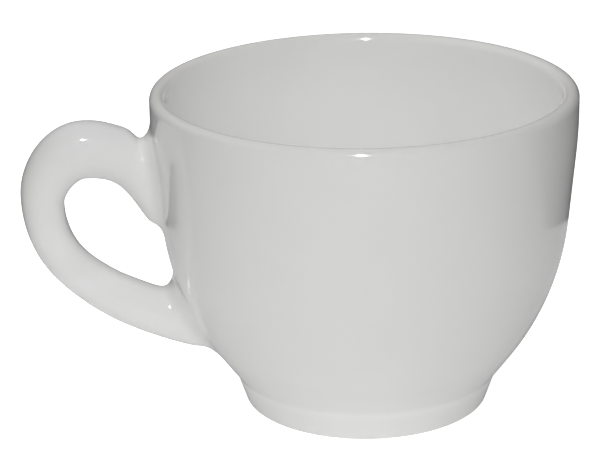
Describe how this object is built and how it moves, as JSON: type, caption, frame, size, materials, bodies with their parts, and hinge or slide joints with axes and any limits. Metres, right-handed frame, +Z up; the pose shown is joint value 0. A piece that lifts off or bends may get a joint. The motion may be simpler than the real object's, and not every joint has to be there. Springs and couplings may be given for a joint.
{
  "type": "espresso cup",
  "caption": "Small white glazed porcelain espresso cup: a rounded bowl on a tapered foot ring, with an ear-shaped loop handle luted to the wall.",
  "frame": {"origin": "centre of the foot ring's sole, on the cup's axis", "axes": "+Z up along the cup's axis, the handle along -X in the plane y = 0"},
  "size_m": [0.085, 0.065, 0.05],
  "materials": {
    "glazed_porcelain": "gloss",
    "bare_porcelain": "matte"
  },
  "bodies": {
    "root": {"bowl": "glazed_porcelain", "foot_ring": "glazed_porcelain", "handle": "glazed_porcelain", "upper_slip_joint": "glazed_porcelain", "lower_slip_joint": "glazed_porcelain"}
  },
  "joints": []
}
